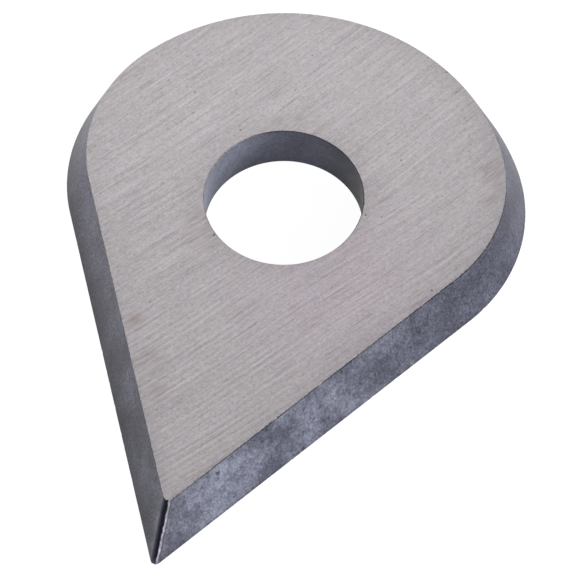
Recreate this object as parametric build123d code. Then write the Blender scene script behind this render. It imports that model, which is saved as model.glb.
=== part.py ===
from build123d import *
import os
from math import cos, radians, sin

# Scraper blade: one pressed and sintered carbide plate with a pear-shaped outline. Its large face is ground flat, and
# meets the flank in the cutting edge. The flank leans in all the way round, up to a smaller ground face. A plain hole
# for the handle's screw goes through.
#
# Frame: origin on the hole's axis in the plane of the large face, +Z out of the small face, the point towards -Y.

# Driving dimensions, in millimetres and degrees
WIDTH = 25.0  # across the two corner arcs, at the cutting edge
CORNER_RADIUS = 9.5  # arcs that lead from the back into the straight edges
BACK_ARC_ANGLE = 113.0  # span of the flatter arc across the back
TIP_ANGLE = 60.0  # between the two straight cutting edges
THICKNESS = 2.9  # from the large face to the small one
RELIEF_ANGLE = 21.5  # lean of the flank from the blade's normal
BORE_DIAMETER = 8.5  # hole for the handle's screw
BORE_TO_BACK = 13.2  # from the hole's axis to the back of the cutting edge
RIDGE_RADIUS = 0.3  # rounding of the ridge where the two straight flanks meet
EDGE_BREAK = 0.05  # chamfer left by grinding, round the small face and on both ends of the hole

# Outline of the cutting edge, worked out from the driving dimensions
HALF_TIP = TIP_ANGLE / 2
BACK_START = (180 - BACK_ARC_ANGLE) / 2  # direction in which the back arc meets the right corner arc
CORNER_X = WIDTH / 2 - CORNER_RADIUS
CENTRE_GAP = CORNER_X / cos(radians(BACK_START))  # between the back arc's centre and each corner arc's centre
BACK_RADIUS = CORNER_RADIUS + CENTRE_GAP
BACK_Y = BORE_TO_BACK - BACK_RADIUS
CORNER_Y = BACK_Y + CENTRE_GAP * sin(radians(BACK_START))
TIP_Y = CORNER_Y - (CORNER_X * cos(radians(HALF_TIP)) + CORNER_RADIUS) / sin(radians(HALF_TIP))


def outline() -> Sketch:
    """The pear-shaped face inside the cutting edge: back arc, two tangent corner arcs and two straight edges."""
    with BuildSketch(Plane.XY) as face:
        with BuildLine():
            right = CenterArc((CORNER_X, CORNER_Y), CORNER_RADIUS, -HALF_TIP, HALF_TIP + BACK_START)
            CenterArc((0, BACK_Y), BACK_RADIUS, BACK_START, BACK_ARC_ANGLE)
            left = CenterArc((-CORNER_X, CORNER_Y), CORNER_RADIUS, 180 - BACK_START, BACK_START + HALF_TIP)
            Polyline(left @ 1, (0, TIP_Y), right @ 0)
        make_face()
    return face.sketch


def scraper_blade() -> Part:
    """The blade: a tapered plate with a rounded ridge at the point, a through hole and broken upper edges."""
    with BuildPart() as blade:
        extrude(outline(), amount=THICKNESS, taper=RELIEF_ANGLE)
        ridge = blade.edges().sort_by(Axis.Y)[0]
        fillet(ridge, RIDGE_RADIUS)
        with Locations((0, 0, THICKNESS / 2)):
            Cylinder(BORE_DIAMETER / 2, THICKNESS, mode=Mode.SUBTRACT)
        small_face = blade.faces().sort_by(Axis.Z)[-1]
        lower_rim = blade.faces().sort_by(Axis.Z)[0].inner_wires()[0]
        chamfer(small_face.edges() + lower_rim.edges(), EDGE_BREAK)
    return blade.part


os.makedirs("parts", exist_ok=True)
export_step(scraper_blade(), "parts/scraper_blade.step")
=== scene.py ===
"""A ground carbide scraper blade with a pear-shaped outline, lying on a white table."""

import logging
from dataclasses import dataclass, field
from enum import Enum
from math import asin, cos, pi, radians, sin, tan

import bpy
import numpy as np
from mathutils import Matrix, Vector


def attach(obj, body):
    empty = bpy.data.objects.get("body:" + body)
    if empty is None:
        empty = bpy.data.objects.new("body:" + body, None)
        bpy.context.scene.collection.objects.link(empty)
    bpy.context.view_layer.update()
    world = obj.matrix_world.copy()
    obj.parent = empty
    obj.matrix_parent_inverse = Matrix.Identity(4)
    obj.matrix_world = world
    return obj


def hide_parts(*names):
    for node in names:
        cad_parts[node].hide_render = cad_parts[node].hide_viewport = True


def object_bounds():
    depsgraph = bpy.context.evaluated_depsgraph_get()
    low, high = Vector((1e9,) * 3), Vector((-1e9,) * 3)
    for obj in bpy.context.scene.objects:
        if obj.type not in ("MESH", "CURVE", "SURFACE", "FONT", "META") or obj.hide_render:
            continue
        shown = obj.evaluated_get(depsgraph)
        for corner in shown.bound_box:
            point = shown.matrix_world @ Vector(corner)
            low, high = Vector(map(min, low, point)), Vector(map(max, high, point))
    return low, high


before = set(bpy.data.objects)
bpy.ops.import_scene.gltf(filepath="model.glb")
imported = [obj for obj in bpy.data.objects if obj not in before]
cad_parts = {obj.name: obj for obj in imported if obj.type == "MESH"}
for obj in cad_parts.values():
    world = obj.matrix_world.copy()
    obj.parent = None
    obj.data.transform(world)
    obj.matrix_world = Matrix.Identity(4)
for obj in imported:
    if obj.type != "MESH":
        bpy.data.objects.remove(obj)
CAD_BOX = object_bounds()
LOG = logging.getLogger("scraper blade")
MM = 0.001


class Zone(Enum):
    """The surfaces of the blade, in the order of the mesh's material slots."""

    LARGE_FACE = 0
    SMALL_FACE = 1
    FLANK = 2
    BORE_WALL = 3
    EDGE_BREAK = 4
    RIDGE = 5


class Bench:
    """A node tree with short calls for the nodes that the finishes share."""

    def __init__(self, tree: bpy.types.NodeTree) -> None:
        """Take an empty node tree.

        Args:
            tree: the node tree to build in.
        """
        self.tree = tree

    def add(self, kind: str, **options: object) -> bpy.types.Node:
        """Add a node.

        Args:
            kind: the node's type name.
            options: properties to set on it.

        Returns:
            The new node.
        """
        node = self.tree.nodes.new(kind)
        for name, value in options.items():
            setattr(node, name, value)
        return node

    def feed(self, socket: bpy.types.NodeSocket, value: object) -> None:
        """Link a socket to another, or set it to a plain value.

        Args:
            socket: the input to feed.
            value: an output socket, a number, or a tuple of numbers.
        """
        if isinstance(value, bpy.types.NodeSocket):
            self.tree.links.new(value, socket)
        else:
            socket.default_value = value

    def maths(self, operation: str, *values: object, clamp: bool = False) -> bpy.types.NodeSocket:
        """Add a Math node.

        Args:
            operation: what it does, such as MULTIPLY.
            values: its inputs, as sockets or numbers.
            clamp: whether the result is kept between 0 and 1.

        Returns:
            The node's result.
        """
        node = self.add("ShaderNodeMath", operation=operation, use_clamp=clamp)
        for socket, value in zip(node.inputs, values):
            self.feed(socket, value)
        return node.outputs[0]

    def vector(self, x: object, y: object, z: object = 0.0) -> bpy.types.NodeSocket:
        """Combine three numbers or sockets into a vector.

        Args:
            x: first part.
            y: second part.
            z: third part.

        Returns:
            The vector.
        """
        node = self.add("ShaderNodeCombineXYZ")
        for socket, value in zip(node.inputs, (x, y, z)):
            self.feed(socket, value)
        return node.outputs[0]

    def noise(self, where: bpy.types.NodeSocket, scale: float, detail: float = 2.0,
              roughness: float = 0.5, distortion: float = 0.0) -> bpy.types.NodeSocket:
        """Add a noise pattern.

        Args:
            where: the place it is read at.
            scale: how many cells there are to a unit.
            detail: how many finer layers it has.
            roughness: how strong the finer layers are.
            distortion: how far it is swirled.

        Returns:
            The pattern, about 0.5 on average.
        """
        node = self.add("ShaderNodeTexNoise")
        self.feed(node.inputs["Vector"], where)
        for name, value in (("Scale", scale), ("Detail", detail), ("Roughness", roughness),
                            ("Distortion", distortion)):
            node.inputs[name].default_value = value
        return node.outputs[0]

    def span(self, value: bpy.types.NodeSocket, low: float, high: float,
             start: float = 0.0, end: float = 1.0, smooth: bool = False) -> bpy.types.NodeSocket:
        """Map a value's span from low to high onto start to end, held at both ends.

        Args:
            value: the value to map.
            low: where the result is start.
            high: where the result is end.
            start: the result at low.
            end: the result at high.
            smooth: whether the result eases in and out.

        Returns:
            The mapped value.
        """
        node = self.add("ShaderNodeMapRange", interpolation_type="SMOOTHSTEP" if smooth else "LINEAR")
        for socket, part in zip(node.inputs, (value, low, high, start, end)):
            self.feed(socket, part)
        return node.outputs[0]

    def blend(self, share: object, first: object, second: object,
              mode: str = "MIX") -> bpy.types.NodeSocket:
        """Mix two colours.

        Args:
            share: how much of the second, from 0 to 1.
            first: a colour.
            second: another colour.
            mode: the way they are mixed.

        Returns:
            The mixed colour.
        """
        node = self.add("ShaderNodeMix", data_type="RGBA", blend_type=mode)
        self.feed(node.inputs[0], share)
        self.feed(node.inputs[6], first)
        self.feed(node.inputs[7], second)
        return node.outputs[2]

    def grey(self, value: bpy.types.NodeSocket) -> bpy.types.NodeSocket:
        """Make a grey colour from a number.

        Args:
            value: the number.

        Returns:
            The colour.
        """
        node = self.add("ShaderNodeCombineColor")
        for socket in node.inputs:
            self.feed(socket, value)
        return node.outputs[0]

    def bump(self, height: bpy.types.NodeSocket, depth: float,
             under: object = None) -> bpy.types.NodeSocket:
        """Turn a height pattern into surface relief.

        Args:
            height: the pattern.
            depth: the height in metres that 1 stands for.
            under: the relief this one lies on, if any.

        Returns:
            The surface normal.
        """
        node = self.add("ShaderNodeBump")
        node.inputs["Strength"].default_value = 1.0
        node.inputs["Distance"].default_value = depth
        self.feed(node.inputs["Height"], height)
        if under is not None:
            self.feed(node.inputs["Normal"], under)
        return node.outputs[0]


def carbide(name: str) -> tuple[bpy.types.Material, Bench, bpy.types.Node, bpy.types.NodeSocket]:
    """Start a bare-metal material.

    Args:
        name: the material's name.

    Returns:
        The material, its bench, its shader, and the place on the blade in metres.
    """
    material = bpy.data.materials.new(name)
    material.use_nodes = True
    material.node_tree.nodes.clear()
    bench = Bench(material.node_tree)
    shader = bench.add("ShaderNodeBsdfPrincipled")
    shader.inputs["Metallic"].default_value = 1.0
    bench.feed(bench.add("ShaderNodeOutputMaterial").inputs["Surface"], shader.outputs[0])
    return material, bench, shader, bench.add("ShaderNodeTexCoord").outputs["Object"]


@dataclass(frozen=True)
class Mark:
    """A stain or a pit on the small face: its place and its radius, in millimetres."""

    x: float
    y: float
    reach: float


STAINS = (
    Mark(-3.75, -2.75, 1.00),
    Mark(-3.00, -3.75, 0.70),
    Mark(-3.90, -4.00, 0.70),
    Mark(-1.82, 4.65, 0.35),
    Mark(-0.74, 5.13, 0.30),
    Mark(10.09, 4.93, 0.90),
    Mark(10.36, 3.27, 0.60),
    Mark(10.65, 4.17, 0.50),
    Mark(-3.52, -11.84, 0.90),
    Mark(-2.50, -13.60, 0.70),
    Mark(-4.97, -9.84, 0.60),
)
PITS = (
    Mark(5.86, 10.41, 0.085),
    Mark(6.81, 9.34, 0.070),
    Mark(5.24, 4.19, 0.075),
    Mark(5.27, 3.52, 0.065),
    Mark(5.30, 0.38, 0.060),
    Mark(4.51, 0.25, 0.065),
    Mark(-2.78, -3.41, 0.080),
    Mark(-7.16, 5.20, 0.055),
    Mark(-6.64, 5.02, 0.055),
    Mark(-1.55, 6.79, 0.050),
    Mark(-1.36, 9.21, 0.055),
    Mark(-0.85, 4.62, 0.050),
    Mark(-3.56, 3.41, 0.060),
    Mark(-4.66, -8.44, 0.050),
    Mark(9.22, -3.20, 0.060),
    Mark(3.87, -7.53, 0.045),
    Mark(0.10, -6.78, 0.045),
)


@dataclass(frozen=True)
class GroundFinish:
    """A face ground flat on a large wheel: long shallow arcs of fine scratches."""

    name: str = "ground_small_face"
    colour: tuple = (0.372, 0.344, 0.358, 1.0)
    warm: tuple = (1.035, 1.0, 0.955, 1.0)
    cool: tuple = (0.965, 1.0, 1.055, 1.0)
    plain: tuple = (0.995, 1.008, 0.997, 1.0)
    purple: tuple = (1.000, 0.978, 1.004, 1.0)
    purple_patch: tuple = (4.6 * MM, -4.8 * MM, 2.9 * MM)
    stain: tuple = (0.215, 0.165, 0.155, 1.0)
    pit: tuple = (0.060, 0.050, 0.050, 1.0)
    stains: tuple = STAINS
    pits: tuple = PITS
    wheel_radius: float = 200 * MM
    wheel_towards: tuple = (-0.83, 0.55)
    roughness: float = 0.36
    relief: float = 0.8e-6
    depth: float = 0.52

    def material(self) -> bpy.types.Material:
        """Build the finish.

        Returns:
            The material.
        """
        material, bench, shader, place = carbide(self.name)
        apart = bench.add("ShaderNodeSeparateXYZ")
        bench.feed(apart.inputs[0], place)
        centre = (self.wheel_radius * self.wheel_towards[0], self.wheel_radius * self.wheel_towards[1])
        across_x = bench.maths("SUBTRACT", apart.outputs[0], centre[0])
        across_y = bench.maths("SUBTRACT", apart.outputs[1], centre[1])
        squares = bench.maths("ADD", bench.maths("MULTIPLY", across_x, across_x),
                              bench.maths("MULTIPLY", across_y, across_y))
        radius = bench.maths("SQRT", squares)
        drift = bench.maths("MULTIPLY", bench.noise(place, 90.0, 1.0), 0.9 * MM)
        across = bench.maths("ADD", radius, drift)
        along = bench.maths("MULTIPLY", bench.maths("ARCTAN2", across_y, across_x), self.wheel_radius)

        def lines(pitch: float, length: float, shift: float, detail: float = 1.0) -> bpy.types.NodeSocket:
            """Scratches of one width and length.

            Args:
                pitch: distance between them, in metres.
                length: their length, in metres.
                shift: a number that makes this set differ from the others.
                detail: how many finer layers they have.

            Returns:
                The pattern, about 0 on average.
            """
            where = bench.vector(bench.maths("MULTIPLY", across, 1 / pitch),
                                 bench.maths("MULTIPLY", along, 1 / length), shift)
            return bench.maths("SUBTRACT", bench.noise(where, 1.0, detail), 0.5)

        def layers(*parts: tuple) -> bpy.types.NodeSocket:
            """Add patterns, each with its share.

            Args:
                parts: pairs of a pattern and its share.

            Returns:
                The sum.
            """
            total = None
            for pattern, share in parts:
                part = bench.maths("MULTIPLY", pattern, share)
                total = part if total is None else bench.maths("ADD", total, part)
            return total

        grain = bench.maths("SUBTRACT", bench.noise(place, 9500.0, 1.0, 0.5), 0.5)
        point_side = bench.span(apart.outputs[1], -4 * MM, -12 * MM, 0.25, 1.0)
        feed = bench.maths("SINE", bench.maths("MULTIPLY", across, 2 * pi / (0.355 * MM)))
        feed = bench.maths("MULTIPLY", feed,
                           bench.span(lines(0.5 * MM, 9.0 * MM, 51.0), -0.15, 0.15, 0.3, 1.7))
        feed = bench.maths("MULTIPLY", feed, point_side)
        pattern = layers((grain, 0.75), (lines(0.10 * MM, 0.45 * MM, 0.0), 0.40),
                         (lines(0.12 * MM, 5.5 * MM, 11.0), 0.60), (lines(0.8 * MM, 22.0 * MM, 23.0), 0.18),
                         (feed, 0.070))
        scratches = bench.span(lines(0.10 * MM, 2.6 * MM, 31.0, 0.0), -0.16, -0.28, 0.0, 0.16)
        glints = bench.span(lines(0.10 * MM, 3.5 * MM, 61.0, 0.0), 0.19, 0.30, 0.0, 0.11)
        depth = bench.span(apart.outputs[1], 8 * MM, -14 * MM, 0.88 * self.depth, 1.25 * self.depth)
        level = bench.maths("MULTIPLY_ADD", pattern, depth, 1.0)
        level = bench.maths("ADD", bench.maths("SUBTRACT", level, scratches), glints)
        gap = bench.add("ShaderNodeAttribute", attribute_name="edge_gap").outputs["Fac"]
        rim = bench.span(apart.outputs[0], -9 * MM, 11 * MM, 0.93, 0.86)
        worn = bench.maths("POWER", bench.span(gap, 0.0, 2.2 * MM, 1.0, 0.0), 2.0)
        dull = bench.maths("SUBTRACT", 1.0, bench.maths("MULTIPLY", worn, bench.maths("SUBTRACT", 1.0, rim)))
        level = bench.maths("MULTIPLY", level, dull)
        tint = bench.blend(bench.noise(place, 4300.0, 1.0), self.warm, self.cool)
        colour = bench.blend(1.0, self.colour, tint, "MULTIPLY")
        away = bench.add("ShaderNodeVectorMath", operation="DISTANCE")
        bench.feed(away.inputs[0], place)
        bench.feed(away.inputs[1], self.purple_patch)
        near = bench.span(away.outputs["Value"], 8 * MM, 1.5 * MM, smooth=True)
        drift = bench.blend(near, self.plain, self.purple)
        colour = bench.blend(1.0, colour, drift, "MULTIPLY")
        colour = bench.blend(1.0, colour, bench.grey(level), "MULTIPLY")
        specks = bench.span(lines(0.10 * MM, 0.30 * MM, 41.0, 0.0), 0.24, 0.31, 0.0, 0.5)
        colour = bench.blend(specks, colour, self.stain)
        streaky = bench.maths("ADD", lines(0.16 * MM, 1.2 * MM, 71.0), bench.maths("MULTIPLY", grain, 0.6))
        streaky = bench.span(streaky, -0.12, 0.22, 0.0, 0.55)
        if self.stains:
            near = self.nearest(bench, place, self.stains)
            colour = bench.blend(bench.maths("MULTIPLY", bench.span(near, 1.3, 0.2, smooth=True), streaky), colour,
                                 self.stain)
        if self.pits:
            near = bench.maths("ADD", self.nearest(bench, place, self.pits), bench.maths("MULTIPLY", grain, 2.6))
            colour = bench.blend(bench.span(near, 1.0, 0.3, 0.0, 0.75), colour, self.pit)
        bench.feed(shader.inputs["Base Color"], colour)
        bench.feed(shader.inputs["Roughness"],
                   bench.span(pattern, -0.2, 0.2, self.roughness + 0.05, self.roughness - 0.05))
        bench.feed(shader.inputs["Normal"], bench.bump(pattern, self.relief))
        return material

    def nearest(self, bench: Bench, place: bpy.types.NodeSocket, marks: tuple) -> bpy.types.NodeSocket:
        """How far a place is from the nearest of several marks, in radii of that mark.

        Args:
            bench: the bench to build on.
            place: the place on the blade.
            marks: the marks.

        Returns:
            0 at a mark's middle, 1 at its rim.
        """
        least = None
        for mark in marks:
            step = bench.add("ShaderNodeVectorMath", operation="DISTANCE")
            bench.feed(step.inputs[0], place)
            bench.feed(step.inputs[1], (mark.x * MM, mark.y * MM, 2.9 * MM))
            away = bench.maths("DIVIDE", step.outputs["Value"], mark.reach * MM)
            least = away if least is None else bench.maths("MINIMUM", least, away)
        return least


@dataclass(frozen=True)
class SinteredFinish:
    """The skin left by pressing and sintering: dark, bluish, grainy and mottled with pale patches, with painted
    sheen and shade along it, painted shade at its foot and a painted shade line under its top edge.
    """

    name: str = "sintered_flank"
    clean: tuple = (0.130, 0.127, 0.160, 1.0)
    # Colour towards the right: a bluer tone on the flank; in the bore, painted shade that darkens the right of the
    # wall.
    right_tone_and_shade: tuple = (0.133, 0.134, 0.181, 1.0)
    pale: tuple = (0.345, 0.360, 0.450, 1.0)
    shift: tuple = (46.2 * MM, 22.5 * MM, 4.1 * MM)
    dark: tuple = (0.050, 0.049, 0.062, 1.0)
    patches: float = 0.84
    grit: float = 1.0
    metallic: float = 0.93
    specular: float = 0.5
    roughness: float = 0.40
    turn_over: tuple = (-1 * MM, 2 * MM)
    clouding: float = 0.08
    # Painted shade towards the point of the left flank, and a painted sheen towards its back.
    point_shade: float = 0.74
    rear_painted_sheen: float = 1.60
    # Painted shade at the foot, where the skin meets the table: how far up it reaches and how dark it gets, on the
    # left and on the right.
    foot_reach: tuple = (1.9 * MM, 0.20 * MM)
    foot_shade: tuple = (0.40, 0.72)
    # A painted shade line just under the top edge: its height and its width.
    brink: float = 2.9 * MM
    brink_line: float = 0.13 * MM

    def material(self) -> bpy.types.Material:
        """Build the finish.

        Returns:
            The material.
        """
        material, bench, shader, place = carbide(self.name)
        shader.inputs["Metallic"].default_value = self.metallic
        shader.inputs["Specular IOR Level"].default_value = self.specular
        apart = bench.add("ShaderNodeSeparateXYZ")
        bench.feed(apart.inputs[0], place)
        right = bench.span(apart.outputs[0], self.turn_over[0], self.turn_over[1])
        worn = bench.maths("MULTIPLY", bench.span(right, 0.0, 1.0, 0.30, 1.0),
                           bench.span(apart.outputs[1], -3 * MM, -11 * MM, 0.30, 1.0))
        moved = bench.add("ShaderNodeVectorMath", operation="ADD")
        bench.feed(moved.inputs[0], place)
        bench.feed(moved.inputs[1], self.shift)
        cloud = bench.noise(moved.outputs[0], 420.0, 2.0, 0.5)
        mottle = bench.noise(place, 2600.0, 2.0, 0.6)
        grain = bench.noise(place, 8500.0, 1.0)
        haze = bench.maths("ADD", bench.maths("MULTIPLY", cloud, 0.7), bench.maths("MULTIPLY", mottle, 0.3))
        patch = bench.maths("MULTIPLY", bench.span(haze, 0.42, 0.66), worn)
        colour = bench.blend(right, self.clean, self.right_tone_and_shade)
        # Painted light along the blade: on the left, shade towards the point and sheen towards the back; on the
        # right, lighter towards the point and darker towards the back.
        rear = bench.span(apart.outputs[1], -14 * MM, 8 * MM,
                          bench.span(right, 0.0, 1.0, self.point_shade, 1.12),
                          bench.span(right, 0.0, 1.0, self.rear_painted_sheen, 0.79))
        colour = bench.blend(1.0, colour, bench.grey(rear), "MULTIPLY")
        colour = bench.blend(bench.maths("MULTIPLY", patch, self.patches), colour, self.pale)
        grit = bench.maths("ADD", grain, bench.maths("MULTIPLY_ADD", mottle, 0.35, -0.675))
        grit = bench.maths("MULTIPLY", grit, bench.span(worn, 0.1, 0.8, 1.9 * self.grit, 1.40 * self.grit))
        # Painted shade: darker towards the foot.
        foot_reach = bench.span(right, 0.0, 1.0, self.foot_reach[0], self.foot_reach[1])
        foot = bench.span(bench.maths("DIVIDE", apart.outputs[2], foot_reach), 0.0, 1.0,
                          bench.span(right, 0.0, 1.0, self.foot_shade[0], self.foot_shade[1]), 1.0)
        # Painted shade line just under the top edge, stronger on the right and towards the point.
        brink = bench.span(apart.outputs[2], self.brink - self.brink_line, self.brink - 0.5 * self.brink_line)
        brink = bench.maths("MULTIPLY", brink, bench.span(mottle, 0.35, 0.65, 0.45, 1.0))
        straight = bench.span(apart.outputs[1], 3 * MM, 8 * MM, 0.85, 0.25)
        sided = bench.maths("MULTIPLY", bench.span(right, 0.0, 1.0, 0.25, 1.0), straight)
        brink = bench.maths("MULTIPLY", brink, sided)
        level = bench.maths("MULTIPLY", bench.maths("ADD", grit, 1.0), foot)
        level = bench.maths("MULTIPLY", level,
                            bench.span(haze, 0.32, 0.68, 1 - self.clouding, 1 + self.clouding))
        level = bench.maths("MULTIPLY", level, bench.maths("SUBTRACT", 1.0, brink))
        colour = bench.blend(1.0, colour, bench.grey(level), "MULTIPLY")
        nicks = bench.span(bench.noise(place, 1900.0, 1.5, 0.5), 0.68, 0.76, 0.0, 0.8)
        colour = bench.blend(bench.maths("MULTIPLY", nicks, worn), colour, self.dark)
        bench.feed(shader.inputs["Base Color"], colour)
        bench.feed(shader.inputs["Roughness"],
                   bench.span(mottle, 0.3, 0.7, self.roughness - 0.06, self.roughness + 0.08))
        bench.feed(shader.inputs["Normal"], bench.bump(grain, 0.8e-6, bench.bump(cloud, 8e-6)))
        return material


@dataclass(frozen=True)
class BrokenEdgeFinish:
    """The narrow bevel that grinding leaves along an edge: bright, with painted shade round the right of the hole.
    """

    light: tuple = (0.360, 0.335, 0.350, 1.0)
    painted_rim_shade: tuple = (0.060, 0.058, 0.070, 1.0)
    roughness: float = 0.50
    rim_reach: float = 5.0 * MM

    def material(self) -> bpy.types.Material:
        """Build the finish.

        Returns:
            The material.
        """
        material, bench, shader, place = carbide("broken_edge")
        apart = bench.add("ShaderNodeSeparateXYZ")
        bench.feed(apart.inputs[0], place)
        # Painted shade on the rim round the right of the hole.
        near_hole = bench.span(bench.maths("POWER", bench.maths("ADD", bench.maths("POWER", apart.outputs[0], 2.0),
                                                                bench.maths("POWER", apart.outputs[1], 2.0)), 0.5),
                               self.rim_reach, 0.95 * self.rim_reach)
        shaded = bench.span(bench.maths("ADD", apart.outputs[0], apart.outputs[1]), -1 * MM, 2 * MM)
        colour = bench.blend(bench.maths("MULTIPLY", near_hole, shaded), self.light, self.painted_rim_shade)
        grit = bench.noise(place, 7000.0, 1.0, 0.6)
        colour = bench.blend(1.0, colour, bench.grey(bench.span(grit, 0.3, 0.7, 0.55, 1.45)), "MULTIPLY")
        bench.feed(shader.inputs["Base Color"], colour)
        bench.feed(shader.inputs["Roughness"],
                   bench.span(grit, 0.3, 0.7, self.roughness - 0.10, self.roughness + 0.10))
        bench.feed(shader.inputs["Normal"], bench.bump(grit, 1e-6))
        return material


@dataclass(frozen=True)
class RidgeFinish:
    """The rounded ridge at the point: a painted dark reflection, with a thin painted highlight along its right
    side.
    """

    # A painted dark reflection.
    painted_dark_reflection: tuple = (0.014, 0.014, 0.021, 1.0)
    # The skin, darker on its left side: painted shade, as on the left flank near the point.
    left_skin: tuple = (0.108, 0.106, 0.136, 1.0)
    skin: tuple = (0.136, 0.136, 0.176, 1.0)
    # A painted highlight.
    bright: tuple = (0.640, 0.615, 0.700, 1.0)
    roughness: float = 0.34

    def material(self) -> bpy.types.Material:
        """Build the finish.

        Returns:
            The material.
        """
        material, bench, shader, place = carbide("ridge_line")
        apart = bench.add("ShaderNodeSeparateXYZ")
        bench.feed(apart.inputs[0], place)
        turn = bench.add("ShaderNodeAttribute", attribute_name="ridge_turn").outputs["Fac"]
        wander = bench.maths("MULTIPLY", bench.maths("SUBTRACT", bench.noise(place, 2500.0, 2.0), 0.5), 0.55)
        turn = bench.maths("ADD", turn, wander)
        # Painted dark reflection over the left and middle of the ridge, weaker near the table.
        painted_dark_reflection = bench.maths("MULTIPLY", bench.span(turn, -1.15, -0.20),
                           bench.span(turn, 0.20, 0.42, 1.0, 0.0, smooth=True))
        painted_dark_reflection = bench.maths("MULTIPLY", painted_dark_reflection, bench.span(apart.outputs[2], 0.0, 0.35 * MM, 0.45, 1.0))
        # Painted highlight: a thin speckled line along the right side of the ridge.
        line = bench.maths("MULTIPLY", bench.span(turn, 0.28, 0.42, smooth=True),
                           bench.span(turn, 0.60, 0.78, 1.0, 0.0, smooth=True))
        grit = bench.noise(place, 4800.0, 2.0, 0.6)
        beads = bench.maths("ADD", bench.span(grit, 0.36, 0.52, 0.35, 0.65),
                            bench.span(grit, 0.52, 0.60, 0.0, 0.35))
        beads = bench.maths("MULTIPLY", beads, bench.span(apart.outputs[2], 2.8 * MM, 1.9 * MM, 0.5, 1.0))
        line = bench.maths("MULTIPLY", line, beads)
        skin = bench.blend(bench.span(turn, -0.2, 0.4), self.left_skin, self.skin)
        colour = bench.blend(painted_dark_reflection, skin, self.painted_dark_reflection)
        colour = bench.blend(line, colour, self.bright)
        bench.feed(shader.inputs["Base Color"], colour)
        bench.feed(shader.inputs["Roughness"],
                   bench.span(grit, 0.3, 0.7, self.roughness - 0.06, self.roughness + 0.10))
        bench.feed(shader.inputs["Normal"], bench.bump(grit, 0.6e-6))
        return material


@dataclass
class PearOutline:
    """The blade's outline at any height: a back arc, two corner arcs, two straight edges and a rounded ridge."""

    width: float = CAD_BOX[1][0] - CAD_BOX[0][0]
    corner_radius: float = 9.5 * MM
    back_arc_angle: float = radians(113.0)
    tip_angle: float = radians(60.0)
    relief_angle: float = radians(21.5)
    bore_to_back: float = 13.2 * MM
    ridge_radius: float = 0.3 * MM
    spacing: float = 0.075 * MM
    ridge_stations: int = 25

    def __post_init__(self) -> None:
        """Work out the arcs' centres and the point from the sizes."""
        self.back_start = (pi - self.back_arc_angle) / 2
        self.half_tip = self.tip_angle / 2
        self.corner_x = self.width / 2 - self.corner_radius
        gap = self.corner_x / cos(self.back_start)
        self.back_radius = self.corner_radius + gap
        self.back_y = self.bore_to_back - self.back_radius
        self.corner_y = self.back_y + gap * sin(self.back_start)
        reach = self.corner_x * cos(self.half_tip) + self.corner_radius
        self.tip_y = self.corner_y - reach / sin(self.half_tip)

    def ridge_point(self, turn: np.ndarray, height: np.ndarray) -> np.ndarray:
        """Points on the rounded ridge.

        Args:
            turn: from -1 at the left flank to 1 at the right one.
            height: height above the table, in metres.

        Returns:
            The points' x and y.
        """
        rise = Vector((0, tan(self.relief_angle) / sin(self.half_tip), 1)).normalized()
        outward = Vector((0, -rise.z, rise.y))
        flank = Vector((cos(self.half_tip) * cos(self.relief_angle),
                        -sin(self.half_tip) * cos(self.relief_angle), sin(self.relief_angle)))
        widest = asin(flank.x)
        depth = self.ridge_radius / cos(widest)
        angle = turn * widest
        out = self.ridge_radius * np.cos(angle) - depth
        x = self.ridge_radius * np.sin(angle)
        z_part = out * outward.z
        along = (height - z_part) / rise.z
        y = self.tip_y + along * rise.y + out * outward.y
        return np.stack([x + 0 * y, y], axis=-1)

    def arc(self, centre: tuple, radius: np.ndarray, start: float, end: float, count: int) -> np.ndarray:
        """Points along an arc for each height.

        Args:
            centre: the arc's centre.
            radius: its radius at each height.
            start: the direction it starts in.
            end: the direction it ends in.
            count: how many points, the last one left out.

        Returns:
            An array of count by heights by 2.
        """
        angle = np.linspace(start, end, count, endpoint=False)[:, None]
        return np.stack([centre[0] + radius[None, :] * np.cos(angle),
                         centre[1] + radius[None, :] * np.sin(angle)], axis=-1)

    def straight(self, start: np.ndarray, end: np.ndarray, count: int) -> np.ndarray:
        """Points along a straight edge for each height.

        Args:
            start: its start at each height.
            end: its end at each height.
            count: how many points, the last one left out.

        Returns:
            An array of count by heights by 2.
        """
        share = np.linspace(0, 1, count, endpoint=False)[:, None, None]
        return start[None] * (1 - share) + end[None] * share

    def rings(self, heights: np.ndarray) -> np.ndarray:
        """The outline at several heights, anticlockwise from the left end of the ridge.

        Args:
            heights: heights above the table, in metres.

        Returns:
            An array of stations by heights by 2.
        """
        inset = heights * tan(self.relief_angle)
        turns = np.linspace(-1, 1, self.ridge_stations)[:, None]
        ridge = self.ridge_point(turns, heights[None, :])
        corner = self.corner_radius - inset
        right = (self.corner_x, self.corner_y)
        left = (-self.corner_x, self.corner_y)
        span = self.half_tip + self.back_start
        corner_count = int(span * self.corner_radius / self.spacing)
        right_arc = self.arc(right, corner, -self.half_tip, self.back_start, corner_count)
        left_arc = self.arc(left, corner, pi - self.back_start, pi + self.half_tip, corner_count)
        back_count = int(self.back_arc_angle * self.back_radius / self.spacing)
        back_arc = self.arc((0.0, self.back_y), self.back_radius - inset, self.back_start,
                            pi - self.back_start, back_count)
        edge_count = int((right_arc[0, 0, 1] - self.tip_y) / cos(self.half_tip) / self.spacing)
        right_edge = self.straight(ridge[-1], right_arc[0], edge_count)
        left_end = self.arc(left, corner, pi + self.half_tip, pi, 1)[0]
        left_edge = self.straight(left_end, ridge[0], edge_count)
        return np.concatenate([ridge[:-1], right_edge, right_arc, back_arc, left_arc, left_edge])


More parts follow.
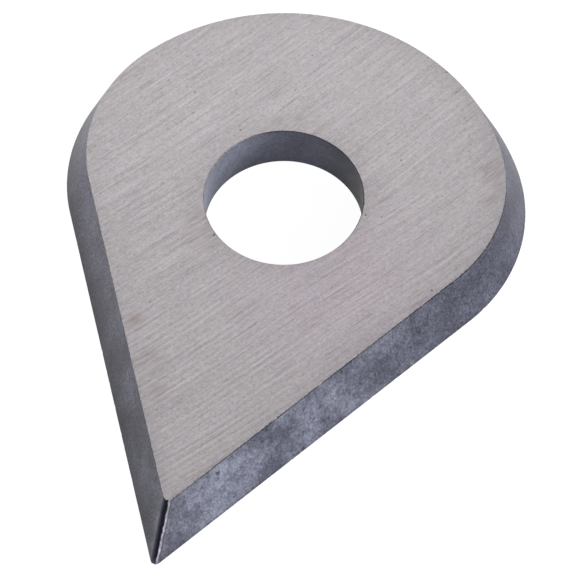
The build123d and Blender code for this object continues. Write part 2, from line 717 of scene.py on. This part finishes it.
@dataclass
class Chips:
    """Small losses along an edge, drawn with a fixed seed."""

    seed: int
    per_metre: float
    widths: tuple
    depths: tuple
    serration: float = 0.0
    pitch: float = 0.12 * MM

    def loss(self, run: np.ndarray, length: float) -> np.ndarray:
        """How far the edge has gone back at each station.

        Args:
            run: distance along the edge at each station, in metres.
            length: the edge's whole length, in metres.

        Returns:
            The loss at each station, in metres.
        """
        draw = np.random.default_rng(self.seed)
        count = int(self.per_metre * length)
        total = np.zeros_like(run)
        places = draw.uniform(0, length, count)
        widths = np.exp(draw.uniform(np.log(self.widths[0]), np.log(self.widths[1]), count))
        depths = draw.uniform(self.depths[0], self.depths[1], count) * draw.uniform(0.3, 1.0, count)
        for place, width, depth in zip(places, widths, depths):
            away = np.abs((run - place + length / 2) % length - length / 2)
            total = np.maximum(total, depth * np.clip(1 - (away / width) ** 2, 0, 1) ** 0.7)
        if self.serration:
            knots = int(length / self.pitch)
            teeth = draw.uniform(0, 1, knots + 1) ** 2
            teeth[-1] = teeth[0]
            total = total + self.serration * np.interp(run / length * knots, np.arange(knots + 1), teeth)
        return total


@dataclass
class ScraperBlade:
    """The whole blade: one closed mesh, in zones that each have their finish."""

    outline: PearOutline = field(default_factory=PearOutline)
    thickness: float = 2.9 * MM
    bore_radius: float = 4.25 * MM
    edge_break: float = 0.018 * MM
    rim_break: float = 0.04 * MM
    flank_rows: int = 26
    wall_rows: int = 9
    face_edge: Chips = field(default_factory=lambda: Chips(
        11, 1500.0, (0.04 * MM, 0.13 * MM), (0.005 * MM, 0.045 * MM), 0.008 * MM))
    cutting_edge: Chips = field(default_factory=lambda: Chips(
        12, 500.0, (0.03 * MM, 0.12 * MM), (0.005 * MM, 0.03 * MM), 0.004 * MM))
    bore_rim: Chips = field(default_factory=lambda: Chips(
        13, 700.0, (0.04 * MM, 0.13 * MM), (0.005 * MM, 0.035 * MM), 0.008 * MM))

    def section(self) -> tuple[np.ndarray, list[Zone], np.ndarray]:
        """All the mesh's points, ring by ring from the lower rim outwards and back over the top.

        Returns:
            Points as rows by stations by 3, the zone of each strip of faces between a row and the next,
            and how far each point is from an edge.
        """
        top = self.thickness
        ends = self.outline.rings(np.array([0.0, top]))
        low, high = ends[:, 0], ends[:, 1]
        run, length = self.run_along(low)
        angles = np.unwrap(np.arctan2(high[:, 1], high[:, 0]))
        ray = np.stack([np.cos(angles), np.sin(angles)], axis=-1)
        rim_run = (angles - angles[0]) * self.bore_radius
        rim_loss = self.bore_rim.loss(rim_run, 2 * pi * self.bore_radius)[:, None]
        lip = self.bore_radius + self.rim_break
        brink_break = self.edge_break
        in_high = self.inward(high)
        in_low = self.inward(low)
        loss = self.face_edge.loss(run, length)[:, None]
        nick = self.cutting_edge.loss(run, length)[:, None]
        rows: list[np.ndarray] = []
        zones: list[Zone] = []
        gaps: list[np.ndarray] = []

        def row(flat: np.ndarray, height: object, gap: object, zone: Zone) -> None:
            """Keep one ring of points and the zone of the strip that follows it.

            Args:
                flat: x and y of each point.
                height: height of the points.
                gap: distance to the nearest edge.
                zone: the zone of the strip up to the next row.
            """
            tall = np.broadcast_to(np.asarray(height, float).reshape(-1), (len(flat),))
            rows.append(np.concatenate([flat, tall[:, None]], axis=1))
            gaps.append(np.broadcast_to(np.asarray(gap, float).reshape(-1), (len(flat),)))
            zones.append(zone)

        def across(start: np.ndarray, end: np.ndarray, near: tuple, far: tuple, middle: int,
                   height: float, zone: Zone) -> None:
            """Rows across a face from one edge to another, close together near both edges.

            Args:
                start: the first edge.
                end: the last edge.
                near: distances of the rows from the first edge.
                far: distances of the rows from the last edge.
                middle: how many rows lie between them.
                height: height of the face.
                zone: the face's zone.
            """
            reach = np.linalg.norm(end - start, axis=1, keepdims=True)
            way = (end - start) / reach
            row(start, height, 0.0, zone)
            for step in near:
                row(start + way * step, height, step, zone)
            for step in range(1, middle + 1):
                share = step / (middle + 1)
                at = near[-1] + (reach - near[-1] - far[0]) * share
                row(start + way * at, height, np.minimum(at, reach - at), zone)
            for step in far:
                row(end - way * step, height, step, zone)

        near = (0.08 * MM, 0.3 * MM)
        across(low + in_low * nick, ray * (lip + rim_loss * 0.5), near, near[::-1], 2, 0.0, Zone.LARGE_FACE)
        row(ray * (lip + rim_loss * 0.5), 0.0, 0.0, Zone.EDGE_BREAK)
        for share in np.linspace(0, 1, self.wall_rows):
            height = self.rim_break + (top - 2 * self.rim_break - rim_loss * 0.8) * share
            gap = np.minimum(height, top - height)
            last = share == 1
            row(ray * self.bore_radius, height, gap, Zone.EDGE_BREAK if last else Zone.BORE_WALL)
        row(ray * (lip + rim_loss * 0.35 - 0.3 * self.rim_break), top - 0.4 * self.rim_break - rim_loss * 0.3,
            0.0, Zone.EDGE_BREAK)
        brink = high + in_high * (brink_break + loss)
        close = (0.05 * MM, 0.12 * MM, 0.25 * MM, 0.6 * MM)
        across(ray * (lip + rim_loss), brink, close, close[::-1], 5, top, Zone.SMALL_FACE)
        row(brink, top, 0.0, Zone.EDGE_BREAK)
        drop = (brink_break + loss * 1.3) * cos(self.outline.relief_angle)
        start_height = top - drop
        middle = high + in_high * (brink_break + loss) * 0.38
        row(middle, top - drop * 0.42, 0.0, Zone.EDGE_BREAK)
        shares = 1 - np.linspace(0, 1, self.flank_rows) ** 1.15
        for number, share in enumerate(shares):
            height = start_height * share
            flat = low + (high - low) * height / top
            if number == len(shares) - 1:
                break
            gap = np.minimum(height, top - height)
            row(flat, height, gap, Zone.FLANK)
        return np.array(rows), zones, np.array(gaps)

    def run_along(self, ring: np.ndarray) -> tuple[np.ndarray, float]:
        """Distance along a closed ring at each of its points.

        Args:
            ring: the points, in order.

        Returns:
            The distances, and the whole length.
        """
        steps = np.linalg.norm(np.roll(ring, -1, axis=0) - ring, axis=1)
        return np.concatenate([[0.0], np.cumsum(steps)[:-1]]), float(steps.sum())

    def inward(self, ring: np.ndarray) -> np.ndarray:
        """Unit directions into the face, at right angles to its edge.

        Args:
            ring: the edge's points, anticlockwise.

        Returns:
            One direction for each point.
        """
        along = np.roll(ring, -1, axis=0) - np.roll(ring, 1, axis=0)
        along /= np.linalg.norm(along, axis=1, keepdims=True)
        return np.stack([-along[:, 1], along[:, 0]], axis=-1)

    def build(self) -> bpy.types.Object:
        """Make the mesh and mark its sharp edges.

        Returns:
            The blade.
        """
        rows, zones, gaps = self.section()
        row_count, station_count = rows.shape[:2]
        here = np.arange(row_count * station_count).reshape(row_count, station_count)
        after = np.roll(here, -1, axis=0)
        quads = np.stack([here, np.roll(here, -1, axis=1), np.roll(after, -1, axis=1), after], axis=-1)
        quads = quads[:, :, ::-1].reshape(-1, 4)
        mesh = bpy.data.meshes.new("ground_blade")
        mesh.from_pydata(rows.reshape(-1, 3).tolist(), [], quads.tolist())
        slots = np.repeat([zone.value for zone in zones], station_count).reshape(row_count, station_count)
        ridge = slots[:, :self.outline.ridge_stations - 1]
        ridge[ridge == Zone.FLANK.value] = Zone.RIDGE.value
        mesh.polygons.foreach_set("material_index", slots.reshape(-1).astype(np.int32))
        mesh.polygons.foreach_set("use_smooth", np.ones(len(quads), bool))
        mark = mesh.attributes.new("edge_gap", "FLOAT", "POINT")
        mark.data.foreach_set("value", gaps.reshape(-1).astype(np.float32))
        turns = np.full(station_count, 1.5)
        turns[:self.outline.ridge_stations] = np.linspace(-1, 1, self.outline.ridge_stations)
        mark = mesh.attributes.new("ridge_turn", "FLOAT", "POINT")
        mark.data.foreach_set("value", np.tile(turns, row_count).astype(np.float32))
        brinks = [number for number in range(row_count) if zones[number] != zones[number - 1]]
        sharp = np.zeros(row_count, bool)
        sharp[brinks] = True
        ends = np.empty(len(mesh.edges) * 2, np.int32)
        mesh.edges.foreach_get("vertices", ends)
        levels = ends.reshape(-1, 2) // station_count
        crisp = (levels[:, 0] == levels[:, 1]) & sharp[levels[:, 0]]
        edge_mark = mesh.attributes.new("sharp_edge", "BOOLEAN", "EDGE")
        edge_mark.data.foreach_set("value", crisp)
        mesh.update()
        blade = bpy.data.objects.new("ground_blade", mesh)
        bpy.context.collection.objects.link(blade)
        return blade

    def dress(self, blade: bpy.types.Object) -> None:
        """Give each zone its finish.

        Args:
            blade: the blade to dress.
        """
        finishes = {
            Zone.LARGE_FACE: GroundFinish("ground_large_face", stains=(), pits=()).material(),
            Zone.SMALL_FACE: GroundFinish().material(),
            Zone.FLANK: SinteredFinish().material(),
            # The bore wall: painted shade darkens its right side, and its lower right most of all.
            Zone.BORE_WALL: SinteredFinish("sintered_bore", (0.26, 0.26, 0.32, 1.0), (0.066, 0.066, 0.080, 1.0),
                                           patches=0.0, grit=0.5, metallic=0.0, specular=0.1,
                                           turn_over=(0.5 * MM, 3.6 * MM), clouding=0.20,
                                           point_shade=1.0, rear_painted_sheen=1.0,
                                           foot_reach=(0.4 * MM, 2.2 * MM), foot_shade=(0.85, 0.45)).material(),
            Zone.EDGE_BREAK: BrokenEdgeFinish().material(),
            Zone.RIDGE: RidgeFinish().material(),
        }
        for zone in Zone:
            blade.data.materials.append(finishes[zone])


@dataclass
class WhiteTable:
    """A white table and white surroundings that mirror in the metal."""

    reach: float = 6.0
    drop: float = 0.02 * MM
    albedo: float = 0.30
    camera_glow: float = 0.965
    mirror_glow: float = 0.76
    surround: float = 0.05

    def build(self) -> None:
        """Lay the table and set the surroundings."""
        size = self.reach
        mesh = bpy.data.meshes.new("table_top")
        corners = [(-size, -size, -self.drop), (size, -size, -self.drop), (size, size, -self.drop),
                   (-size, size, -self.drop)]
        mesh.from_pydata(corners, [], [(0, 1, 2, 3)])
        table = bpy.data.objects.new("table_top", mesh)
        bpy.context.collection.objects.link(table)
        mesh.materials.append(self.table_finish())
        world = bpy.data.worlds.new("white surroundings")
        world.use_nodes = True
        world.node_tree.nodes.clear()
        bench = Bench(world.node_tree)
        paths = bench.add("ShaderNodeLightPath")
        seen = bench.maths("MAXIMUM", paths.outputs["Is Camera Ray"],
                           bench.maths("MAXIMUM", paths.outputs["Is Glossy Ray"],
                                       paths.outputs["Is Transmission Ray"]))
        sky = bench.add("ShaderNodeBackground")
        sky.inputs["Color"].default_value = (1, 1, 1, 1)
        bench.feed(sky.inputs["Strength"], bench.span(seen, 0.0, 1.0, self.surround, 1.0))
        bench.feed(bench.add("ShaderNodeOutputWorld").inputs["Surface"], sky.outputs[0])
        bpy.context.scene.world = world

    def table_finish(self) -> bpy.types.Material:
        """White card: matt, and white to the camera and to the metal where no shadow falls.

        Returns:
            The material.
        """
        material = bpy.data.materials.new("white_card")
        material.use_nodes = True
        material.node_tree.nodes.clear()
        bench = Bench(material.node_tree)
        card = bench.add("ShaderNodeBsdfDiffuse")
        card.inputs["Color"].default_value = (self.albedo, self.albedo, self.albedo, 1)
        paths = bench.add("ShaderNodeLightPath")
        mirrored = bench.maths("MAXIMUM", paths.outputs["Is Glossy Ray"], paths.outputs["Is Transmission Ray"])
        glow = bench.maths("ADD", bench.maths("MULTIPLY", paths.outputs["Is Camera Ray"], self.camera_glow),
                           bench.maths("MULTIPLY", mirrored, self.mirror_glow))
        light = bench.add("ShaderNodeEmission")
        light.inputs["Color"].default_value = (1, 1, 1, 1)
        bench.feed(light.inputs["Strength"], glow)
        both = bench.add("ShaderNodeAddShader")
        bench.feed(both.inputs[0], card.outputs[0])
        bench.feed(both.inputs[1], light.outputs[0])
        bench.feed(bench.add("ShaderNodeOutputMaterial").inputs["Surface"], both.outputs[0])
        return material


@dataclass
class SoftPanel:
    """A soft light panel that faces the blade."""

    name: str
    towards: tuple
    distance: float
    size: tuple
    brightness: float
    colour: tuple = (1.0, 1.0, 1.0)
    aim: tuple = (0.0, -4 * MM, 0.0)
    mirrored: bool = True

    def build(self) -> None:
        """Hang the panel."""
        lamp = bpy.data.lights.new(self.name, "AREA")
        lamp.shape = "RECTANGLE"
        lamp.size, lamp.size_y = self.size
        lamp.energy = self.brightness * pi * self.size[0] * self.size[1]
        lamp.color = self.colour
        panel = bpy.data.objects.new(self.name, lamp)
        way = Vector(self.towards).normalized()
        panel.location = Vector(self.aim) + way * self.distance
        panel.rotation_euler = way.to_track_quat("Z", "Y").to_euler()
        panel.visible_glossy = self.mirrored
        bpy.context.collection.objects.link(panel)


@dataclass
class Camera:
    """The camera at the photograph's place."""

    lens: float = 325.4
    sensor: float = 36.0
    place: tuple = (47.642 * MM, -146.733 * MM, 234.770 * MM)
    right: tuple = (0.951802, 0.306707, -0.002103)
    down: tuple = (0.257229, -0.801952, -0.539173)
    forward: tuple = (-0.167055, 0.512644, -0.842193)

    def build(self) -> None:
        """Set up the camera and make it the scene's."""
        data = bpy.data.cameras.new("view")
        data.lens = self.lens
        data.sensor_width = self.sensor
        data.clip_start = 0.01
        data.clip_end = 100.0
        camera = bpy.data.objects.new("view", data)
        turn = Matrix((self.right, -Vector(self.down), -Vector(self.forward))).transposed()
        camera.matrix_world = Matrix.Translation(self.place) @ turn.to_4x4()
        bpy.context.collection.objects.link(camera)
        bpy.context.scene.camera = camera


def main() -> None:
    """Build the scene in order."""
    logging.basicConfig(level=logging.INFO, format="%(name)s: %(message)s")
    bpy.context.scene.view_settings.view_transform = "Standard"
    Camera().build()
    LOG.info("camera in place")
    maker = ScraperBlade()
    blade = maker.build()
    maker.dress(blade)
    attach(blade, "root")
    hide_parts("scraper_blade")
    LOG.info("%s: %d faces", blade.name, len(blade.data.polygons))
    WhiteTable().build()
    SoftPanel("back_panel", (-0.26, 0.56, 0.80), 0.066, (0.042, 0.042), 0.46, aim=(0.0, 11 * MM, 0.0)).build()
    SoftPanel("right_panel", (0.88, 0.25, 0.42), 0.20, (0.13, 0.10), 7.6, (0.88, 0.93, 1.0),
              mirrored=False).build()
    SoftPanel("front_panel", (0.10, -0.90, 0.42), 0.20, (0.10, 0.08), 3.2, (0.88, 0.93, 1.0),
              mirrored=False).build()
    SoftPanel("rear_panel", (-0.60, 0.76, 0.22), 0.22, (0.24, 0.10), 0.6).build()
    LOG.info("table and panels in place")


if __name__ == "__main__":
    main()
